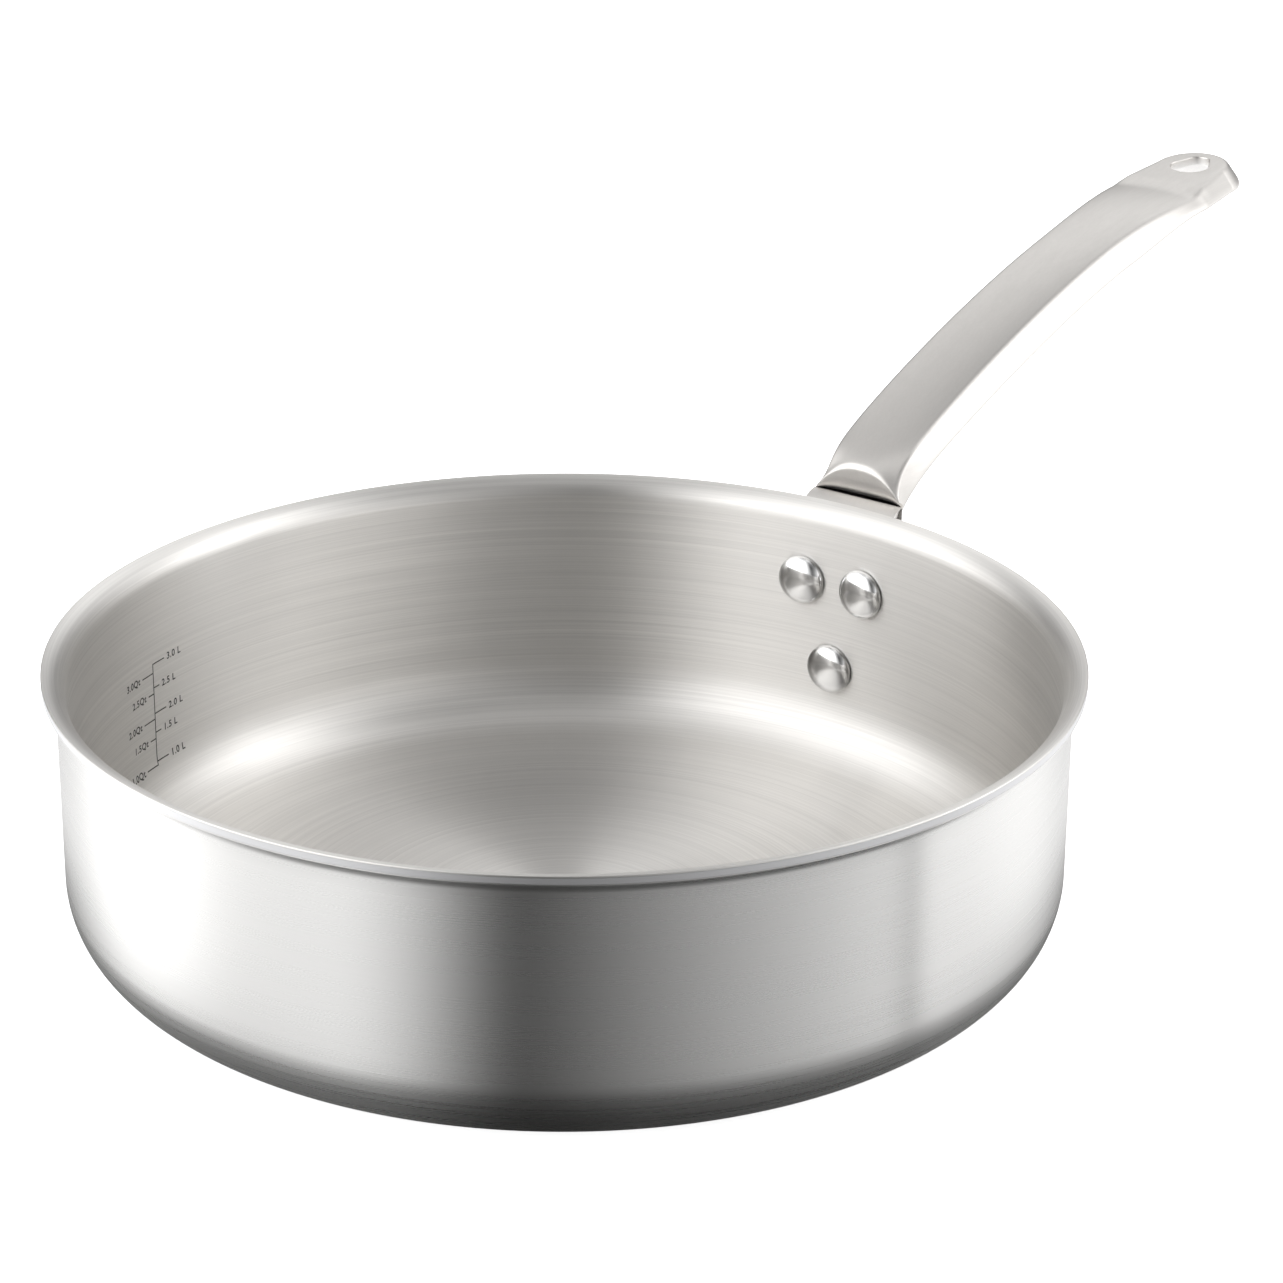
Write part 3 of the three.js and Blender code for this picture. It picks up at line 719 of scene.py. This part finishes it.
def label_points(text, height, align):
    """Flat outline mesh of a number, as points and faces, middle on the height of its tick."""
    curve = bpy.data.curves.new("label", "FONT")
    curve.body, curve.size = text, height / LABEL_CAPITAL
    curve.align_x, curve.align_y = align, "CENTER"
    curve.resolution_u = 4
    curve.space_character = LABEL_SPACING
    curve.offset = height * LABEL_BOLD
    holder = bpy.data.objects.new("label", curve)
    mesh = bpy.data.meshes.new_from_object(holder)
    flat = np.empty(len(mesh.vertices) * 3)
    mesh.vertices.foreach_get("co", flat)
    faces = [tuple(face.vertices) for face in mesh.polygons]
    bpy.data.objects.remove(holder)
    bpy.data.curves.remove(curve)
    bpy.data.meshes.remove(mesh)
    return flat.reshape(-1, 3), faces


def scale_parts(s, m):
    """Strokes and numbers of the scale: litres to the right of the line, quarts to the left."""
    half = m.line_width / 2
    low, high = min(QUARTS.values()) - half, max(LITRES.values()) + half
    grids = [stroke(s, m, (-half, half), low, high, 60)]
    numbers = []
    for marks, side, align in ((LITRES, 1, "LEFT"), (QUARTS, -1, "RIGHT")):
        for text, height in marks.items():
            tick = m.long_tick if ".0" in text else m.short_tick
            ends = sorted((0, side * tick))
            grids.append(stroke(s, m, ends, height - half, height + half, 3))
            flat, faces = label_points(text, m.text_height, align)
            across = side * (tick + m.text_gap) + flat[:, 0]
            numbers.append((on_wall(s, m, across, height + flat[:, 1]), faces))
    return grids, numbers


# Materials


class Brushing(NamedTuple):
    """How a steel was brushed: anisotropy, changes per metre across the fine hairlines, along all
    of them and across the broad ones, then how much they vary the colour, and their relief."""

    anisotropy: float
    fine: float
    slow: float
    broad: float
    tone: float
    relief: float


COOKING_BRUSHING = Brushing(0.92, 2200, 6, 800, 0.14, 0.012)
OUTER_BRUSHING = Brushing(1.0, 3600, 9, 600, 0.03, 0.006)
CORE_BRUSHING = Brushing(0.3, 3000, 12, 400, 0.04, 0.1)
HANDLE_BRUSHING = Brushing(0.3, 2600, 14, 500, 0.04, 0.02)
RIVET_BRUSHING = Brushing(0.2, 5000, 200, 900, 0.03, 0.03)
ALONG_HAIRLINES = 0.25  # quarter turn of the stretched highlight
HAIRLINE_DEPTH = 0.0001
FINE_SHARE = 0.55  # of the fine hairlines, against the broad ones
ROUGHNESS_SPREAD = 0.12
GRAIN_SCALE, MOTTLE_SCALE = 1500, 5000  # of the raw skin and of the etched marks


def feed(tree, node, inputs):
    """Sets each named or numbered input to a value, or links it if it is another node's output."""
    for key, value in inputs.items():
        if isinstance(value, bpy.types.NodeSocket):
            tree.links.new(value, node.inputs[key])
        else:
            node.inputs[key].default_value = value


def new_node(tree, kind, inputs=None, **settings):
    made = tree.nodes.new(kind)
    for key, value in settings.items():
        setattr(made, key, value)
    feed(tree, made, inputs or {})
    return made


def math_node(tree, operation, *values):
    inputs = dict(enumerate(values))
    return new_node(tree, "ShaderNodeMath", inputs, operation=operation).outputs[0]


def mix_node(tree, factor, a, b, kind="RGBA"):
    inputs = {"Factor": factor, "A": a, "B": b}
    return new_node(tree, "ShaderNodeMix", inputs, data_type=kind).outputs["Result"]


def place_node(tree):
    """Place on the piece in its own coordinates."""
    return new_node(tree, "ShaderNodeTexCoord").outputs["Object"]


def noise_node(tree, scale):
    inputs = {"Scale": scale, "Vector": place_node(tree)}
    return new_node(tree, "ShaderNodeTexNoise", inputs).outputs["Fac"]


def spread(tree, value, low, high):
    """A 0 to 1 value mapped to run from low to high, over the middle of its range."""
    inputs = {"Value": value, "From Min": 0.25, "From Max": 0.75, "To Min": low, "To Max": high}
    return new_node(tree, "ShaderNodeMapRange", inputs).outputs["Result"]


def step_node(tree, value, edge, fade):
    """Smooth step from 0 to 1 of the given fade, centred on the edge."""
    inputs = {"Value": value, "From Min": edge - fade / 2, "From Max": edge + fade / 2}
    made = new_node(tree, "ShaderNodeMapRange", inputs, interpolation_type="SMOOTHSTEP")
    return made.outputs["Result"]


def new_material(name):
    """A material with its node tree and its shader."""
    material = bpy.data.materials.new(name)
    material.use_nodes = True
    return material, material.node_tree, material.node_tree.nodes["Principled BSDF"]


def opaque(colour, factor=1):
    """Colour times a factor, at most 1, with full alpha."""
    return (*[min(c * factor, 1) for c in colour], 1)


def new_group(name, inputs, outputs):
    tree = bpy.data.node_groups.new(name, "ShaderNodeTree")
    for way, titles in (("INPUT", inputs), ("OUTPUT", outputs)):
        for title in titles:
            tree.interface.new_socket(title, in_out=way, socket_type="NodeSocketFloat")
    return tree, new_node(tree, "NodeGroupInput").outputs, new_node(tree, "NodeGroupOutput").inputs


def streaks(tree, a, b, c, d, fine, slow):
    """Noise that changes quickly with a and b and slowly with c and d, so it draws long lines."""
    rates = enumerate(((a, fine), (b, fine), (c, slow)))
    scaled = {axis: math_node(tree, "MULTIPLY", value, rate) for axis, (value, rate) in rates}
    vector = new_node(tree, "ShaderNodeCombineXYZ", scaled).outputs[0]
    fourth = math_node(tree, "MULTIPLY", d, slow)
    inputs = {"Vector": vector, "W": fourth, "Scale": 1, "Detail": 3, "Roughness": 0.6}
    return new_node(tree, "ShaderNodeTexNoise", inputs, noise_dimensions="4D").outputs["Fac"]


def hairline_group(name, ring):
    """Hairlines of a brushed finish, from 0 to 1: circles about the pan's axis or lines along X."""
    if name in bpy.data.node_groups:
        return bpy.data.node_groups[name]
    tree, given, out = new_group(name, ("Fine", "Slow", "Broad"), ("Fine lines", "Broad lines"))
    x, y, z = new_node(tree, "ShaderNodeSeparateXYZ", {0: place_node(tree)}).outputs
    spots = y, z, x, x
    if ring:
        squares = (math_node(tree, "MULTIPLY", value, value) for value in (x, y))
        spots = math_node(tree, "SQRT", math_node(tree, "ADD", *squares)), z, x, y
    for title in ("Fine", "Broad"):
        lines = streaks(tree, *spots, given[title], given["Slow"])
        tree.links.new(lines, out[title + " lines"])
    return tree


def brushed_steel(name, colour, roughness, group, brushing):
    """Metal whose hairlines vary its colour by the tone, its roughness a little, and its normal by
    the relief."""
    material, tree, shader = new_material(name)
    rates = {"Fine": brushing.fine, "Slow": brushing.slow, "Broad": brushing.broad}
    lines = new_node(tree, "ShaderNodeGroup", rates, node_tree=group).outputs
    fine = math_node(tree, "MULTIPLY", lines["Fine lines"], FINE_SHARE)
    broad = math_node(tree, "MULTIPLY", lines["Broad lines"], 1 - FINE_SHARE)
    blend = math_node(tree, "ADD", fine, broad)
    dark, bright = opaque(colour, 1 - brushing.tone), opaque(colour, 1 + brushing.tone)
    rough, smooth = roughness * (1 + ROUGHNESS_SPREAD), roughness * (1 - ROUGHNESS_SPREAD)
    relief = {"Strength": brushing.relief, "Distance": HAIRLINE_DEPTH, "Height": blend}
    along = new_node(tree, "ShaderNodeTangent", direction_type="UV_MAP", uv_map=UV_MAP)
    feed(tree, shader, {
        "Base Color": mix_node(tree, spread(tree, blend, 0, 1), dark, bright),
        "Metallic": 1,
        "Roughness": spread(tree, blend, rough, smooth),
        "Normal": new_node(tree, "ShaderNodeBump", relief).outputs["Normal"],
        "Anisotropic": brushing.anisotropy,
        "Anisotropic Rotation": ALONG_HAIRLINES,
        "Tangent": along.outputs[0],
    })
    return material


def leave_raw(material, colour, roughness):
    """Pale, matt skin where the casting was left raw, mixed over a finished steel by the piece's
    own attribute."""
    tree = material.node_tree
    shader = tree.nodes["Principled BSDF"]
    raw = new_node(tree, "ShaderNodeAttribute", attribute_name=RAW).outputs["Fac"]
    skin = mix_node(tree, noise_node(tree, GRAIN_SCALE), opaque(colour, 0.9), opaque(colour))
    finish, rough = (shader.inputs[key].links[0].from_socket for key in ("Base Color", "Roughness"))
    oxide = math_node(tree, "MULTIPLY", raw, 0.75)
    feed(tree, shader, {
        "Base Color": mix_node(tree, raw, finish, skin),
        "Roughness": mix_node(tree, raw, rough, roughness, "FLOAT"),
        "Metallic": math_node(tree, "SUBTRACT", 1, oxide),
    })


def mark_material(colour):
    """Dark etched steel with a fine mottle."""
    material, tree, shader = new_material("etched_mark")
    mottle = noise_node(tree, MOTTLE_SCALE)
    feed(tree, shader, {
        "Base Color": mix_node(tree, mottle, opaque(colour), opaque(colour, 1.6)),
        "Metallic": 0.3,
        "Roughness": spread(tree, mottle, 0.45, 0.65),
    })
    return material


# Operators


def settings(context):
    return context.scene.saute_pan


def add_dressed(name, grids, material, sharp, node, raw_from=()):
    """A piece that stands for a node of the solids, which it hides, and takes the given finish."""
    piece = add_piece(name, grids, material, sharp, dict(raw_from))
    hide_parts(node)


class PAN_OT_sheets(bpy.types.Operator):
    """Make the three bonded sheets of the body as smooth surfaces of revolution"""

    bl_idname = "saute_pan.sheets"
    bl_label = "Sheets"

    def execute(self, context):
        s, looks = settings(context).sheets, settings(context).steel
        rings = hairline_group("ring_hairlines", True)
        core_in = s.inner_ply + s.bond_gap
        core_out = core_in + s.core_ply
        inner = sheet_loop(s, 0, s.inner_ply, s.edge_round, 0)
        core = sheet_loop(s, core_in, core_out, 0, 0)
        outer = sheet_loop(s, core_out + s.bond_gap, wall_thickness(s), 0, s.edge_round)
        cooking = looks.cooking_tint, looks.cooking_roughness, rings, COOKING_BRUSHING
        aluminium = looks.core_tint, looks.core_roughness, rings, CORE_BRUSHING
        outside = looks.outer_tint, looks.outer_roughness, rings, OUTER_BRUSHING
        for name, line, finish, slot, node in (
            ("cooking_sheet", inner, cooking, "cooking_steel", "inner_ply"),
            ("core_sheet", core, aluminium, "core_aluminium", "core"),
            ("outer_sheet", outer, outside, "outer_steel", "outer_ply"),
        ):
            steel = brushed_steel(slot, *finish)
            add_dressed(name, [revolve(line, s.segments)], steel, SHEET_SHARP, node)
        return {"FINISHED"}


class PAN_OT_handle(bpy.types.Operator):
    """Make the cast handle: grip, front scoop, neck and pad"""

    bl_idname = "saute_pan.handle"
    bl_label = "Handle"

    def execute(self, context):
        given = settings(context)
        h, looks = given.handle, given.steel
        left, side_row, inside_row, on_hole = grip_half(h, GripForm(h))
        wall = left[[0, -1]][:, on_hole]
        satin = brushed_steel(
            "handle_steel", looks.handle_tint, looks.handle_roughness,
            hairline_group("long_hairlines", False), HANDLE_BRUSHING,
        )
        leave_raw(satin, looks.raw_tint, looks.raw_roughness)
        grids = [left, left * MIRROR, wall, wall * MIRROR]
        raw_from = enumerate((inside_row, inside_row, 1, 1))
        grids += grip_front(h, left[:, 0], side_row)
        grids += root_block(h, given.rivets, given.sheets)
        add_dressed("cast_handle", grids, satin, HANDLE_SHARP, "handle", raw_from)
        return {"FINISHED"}


class PAN_OT_rivets(bpy.types.Operator):
    """Make the three rivets with domed heads inside and upset tails outside"""

    bl_idname = "saute_pan.rivets"
    bl_label = "Rivets"

    def execute(self, context):
        given = settings(context)
        r, looks = given.rivets, given.steel
        polished = brushed_steel(
            "rivet_steel", looks.rivet_tint, looks.rivet_roughness,
            hairline_group("ring_hairlines", True), RIVET_BRUSHING,
        )
        turn = r.spacing / 2 / given.sheets.inner_radius
        places = {
            "rivet_upper_right": (-turn, r.upper_height),
            "rivet_upper_left": (turn, r.upper_height),
            "rivet_lower": (0.0, r.lower_height),
        }
        for node, place in places.items():
            grids = [rivet_grid(r, *place)]
            add_dressed("polished_" + node, grids, polished, RIVET_SHARP, node)
        return {"FINISHED"}


class PAN_OT_scale(bpy.types.Operator):
    """Make the etched volume scale on the inner wall"""

    bl_idname = "saute_pan.scale"
    bl_label = "Volume scale"

    def execute(self, context):
        given = settings(context)
        grids, numbers = scale_parts(given.sheets, given.marks)
        points, faces = (array.tolist() for array in grid_faces(grids))
        for places, outlines in numbers:
            faces += [[len(points) + corner for corner in outline] for outline in outlines]
            points += places.tolist()
        mesh = bpy.data.meshes.new("volume_scale")
        mesh.from_pydata(points, [], faces)
        mesh.validate()
        piece = place_piece(mesh, mark_material(given.steel.mark_tint))
        return {"FINISHED"}


class PAN_OT_stage(bpy.types.Operator):
    """Make the pale floor, the soft studio light and the camera at the photograph's angle"""

    bl_idname = "saute_pan.stage"
    bl_label = "Stage"

    def execute(self, context):
        stage = settings(context).stage
        make_floor(context.scene, stage)
        make_light(context.scene, stage)
        make_camera(context.scene, stage, settings(context).sheets.height)
        context.scene.view_settings.view_transform = "Standard"
        return {"FINISHED"}


# Stage


def make_floor(scene, stage):
    half = stage.floor_size / 2
    corners = [(-half, -half, 0), (half, -half, 0), (half, half, 0), (-half, half, 0)]
    mesh = bpy.data.meshes.new("floor")
    mesh.from_pydata(corners, [], [(0, 1, 2, 3)])
    floor = bpy.data.objects.new("floor", mesh)
    scene.collection.objects.link(floor)
    floor.location.z = -stage.floor_drop
    material, tree, shader = new_material("pale_floor")
    feed(tree, shader, {
        "Base Color": opaque(stage.floor_tint),
        "Roughness": 0.9,
        "Emission Color": (1, 1, 1, 1),
        "Emission Strength": stage.floor_glow,
    })
    shade_reflections(tree, shader, stage)
    mesh.materials.append(material)


def shade_reflections(tree, shader, stage):
    """What the steel sees of the floor: the dark contact shadow round the pan, and past it the
    studio's light."""
    reach = new_node(tree, "ShaderNodeVectorMath", {0: place_node(tree)}, operation="LENGTH")
    middle = (stage.shadow_start + stage.shadow_end) / 2
    past = step_node(tree, reach.outputs["Value"], middle, stage.shadow_end - stage.shadow_start)
    dark = new_node(tree, "ShaderNodeBsdfDiffuse", {"Color": opaque(stage.shadow_tint)}).outputs[0]
    clear = new_node(tree, "ShaderNodeBsdfTransparent").outputs[0]
    shadow = new_node(tree, "ShaderNodeMixShader", {"Fac": past, 1: dark, 2: clear}).outputs[0]
    mirrored = new_node(tree, "ShaderNodeLightPath").outputs["Is Glossy Ray"]
    sides = {"Fac": mirrored, 1: shader.outputs[0], 2: shadow}
    seen = new_node(tree, "ShaderNodeMixShader", sides).outputs[0]
    feed(tree, tree.nodes["Material Output"], {"Surface": seen})


class Softbox(NamedTuple):
    """A soft-edged window of light far away: strength, then each edge in degrees with the width of
    its fade. Left and right are measured from the camera's own direction, positive to its right;
    bottom and top from the horizon."""

    strength: float
    left: float
    left_fade: float
    right: float
    right_fade: float
    bottom: float
    bottom_fade: float
    top: float
    top_fade: float


# The camera's own side stays dark, so the wall that faces it does too
SOFTBOXES = {
    "big_left": Softbox(2.75, -123.5, 55, -29.5, 45, -17.5, 76, 58, 61),
    "right": Softbox(2.85, 80, 8, 120, 61, -16, 63, 73, 58),
    "graded_right": Softbox(2.64, 36, 125, 77.5, 4, -16.5, 66, 34.5, 53),
    "behind": Softbox(1.9, 139.5, 39, 203, 43, 21.5, 28, 44.5, 33),
    "far_floor": Softbox(1.15, 114, 43, 265, 45, -62, 30, -5, 4),
    "back_left_top": Softbox(0.6, -172, 25, -118, 30, 42, 20, 72, 20),
    "front_top": Softbox(0.3, -50, 50, 50, 50, 48, 30, 180, 0),
    "front": Softbox(0.04, -45, 30, 45, 30, -60, 50, 25, 30),
    "overhead": Softbox(1.1, -180, 0, 180, 0, 76.5, 40, 180, 0),
}


def softbox_light(tree, azimuth, elevation, box):
    """Strength times four smooth steps: over the left and bottom edges, and short of the right and
    top edges. A box all the way round has no left and right, and one up to the zenith no top."""
    half = (box.right - box.left) / 2
    off = math_node(tree, "SUBTRACT", azimuth, (box.left + box.right) / 2)
    across = math_node(tree, "WRAP", off, 180, -180)
    steps = [step_node(tree, elevation, box.bottom, box.bottom_fade)]
    if half < 180:
        past_right = step_node(tree, across, half, box.right_fade)
        steps.append(step_node(tree, across, -half, box.left_fade))
        steps.append(math_node(tree, "SUBTRACT", 1, past_right))
    if box.top < 90:
        over_top = step_node(tree, elevation, box.top, box.top_fade)
        steps.append(math_node(tree, "SUBTRACT", 1, over_top))
    light = box.strength
    for step in steps:
        light = math_node(tree, "MULTIPLY", step, light)
    return light


def make_light(scene, stage):
    """World light by direction: the sum of the softboxes over a dark studio."""
    world = bpy.data.worlds.new("studio")
    scene.world = world
    world.use_nodes = True
    tree = world.node_tree
    direction = new_node(tree, "ShaderNodeTexCoord").outputs["Generated"]
    x, y, z = new_node(tree, "ShaderNodeSeparateXYZ", {0: direction}).outputs
    turn = math_node(tree, "DEGREES", math_node(tree, "ARCTAN2", y, x))
    azimuth = math_node(tree, "SUBTRACT", turn, np.degrees(stage.turn) - 90)
    elevation = math_node(tree, "DEGREES", math_node(tree, "ARCSINE", z))
    total = 0
    for box in SOFTBOXES.values():
        total = math_node(tree, "ADD", softbox_light(tree, azimuth, elevation, box), total)
    feed(tree, tree.nodes["Background"], {"Color": (1, 1, 1, 1), "Strength": total})


def make_camera(scene, stage, rim_height):
    """Camera on a circle about the rim's middle, aimed at it, then turned by the small framing
    angles about its own axes."""
    spin = Matrix.Rotation
    aim = spin(stage.turn, 4, "Z") @ spin(np.pi / 2 - stage.elevation, 4, "X")
    framing = spin(stage.pan, 4, "Y") @ spin(stage.tilt, 4, "X") @ spin(-stage.roll, 4, "Z")
    middle, back = (Matrix.Translation((0, 0, reach)) for reach in (rim_height, stage.distance))
    camera = bpy.data.objects.new("camera", bpy.data.cameras.new("camera"))
    camera.matrix_world = middle @ aim @ back @ framing
    camera.data.lens = stage.lens
    camera.data.sensor_width = stage.sensor
    camera.data.clip_end = stage.view_end
    scene.collection.objects.link(camera)
    scene.camera = camera


class PAN_PT_panel(bpy.types.Panel):
    """Buttons that make the pan's pieces"""

    bl_idname = "PAN_PT_panel"
    bl_label = "Saute pan"
    bl_space_type = "VIEW_3D"
    bl_region_type = "UI"
    bl_category = "Pan"

    def draw(self, context):
        for operator in OPERATORS:
            self.layout.operator(operator.bl_idname)


OPERATORS = (PAN_OT_stage, PAN_OT_sheets, PAN_OT_handle, PAN_OT_rivets, PAN_OT_scale)
CLASSES = (
    PanSheetSizes, PanRivetSizes, PanHandleSizes, PanMarkSizes, PanSteelLooks, PanStageSettings,
    PanSettings, *OPERATORS, PAN_PT_panel,
)


def register():
    for item in CLASSES:
        bpy.utils.register_class(item)
    bpy.types.Scene.saute_pan = PointerProperty(type=PanSettings)


def unregister():
    del bpy.types.Scene.saute_pan
    for item in reversed(CLASSES):
        bpy.utils.unregister_class(item)


def main():
    register()
    bpy.ops.saute_pan.stage()
    bpy.ops.saute_pan.sheets()
    bpy.ops.saute_pan.handle()
    bpy.ops.saute_pan.rivets()
    bpy.ops.saute_pan.scale()


if __name__ == "__main__":
    main()
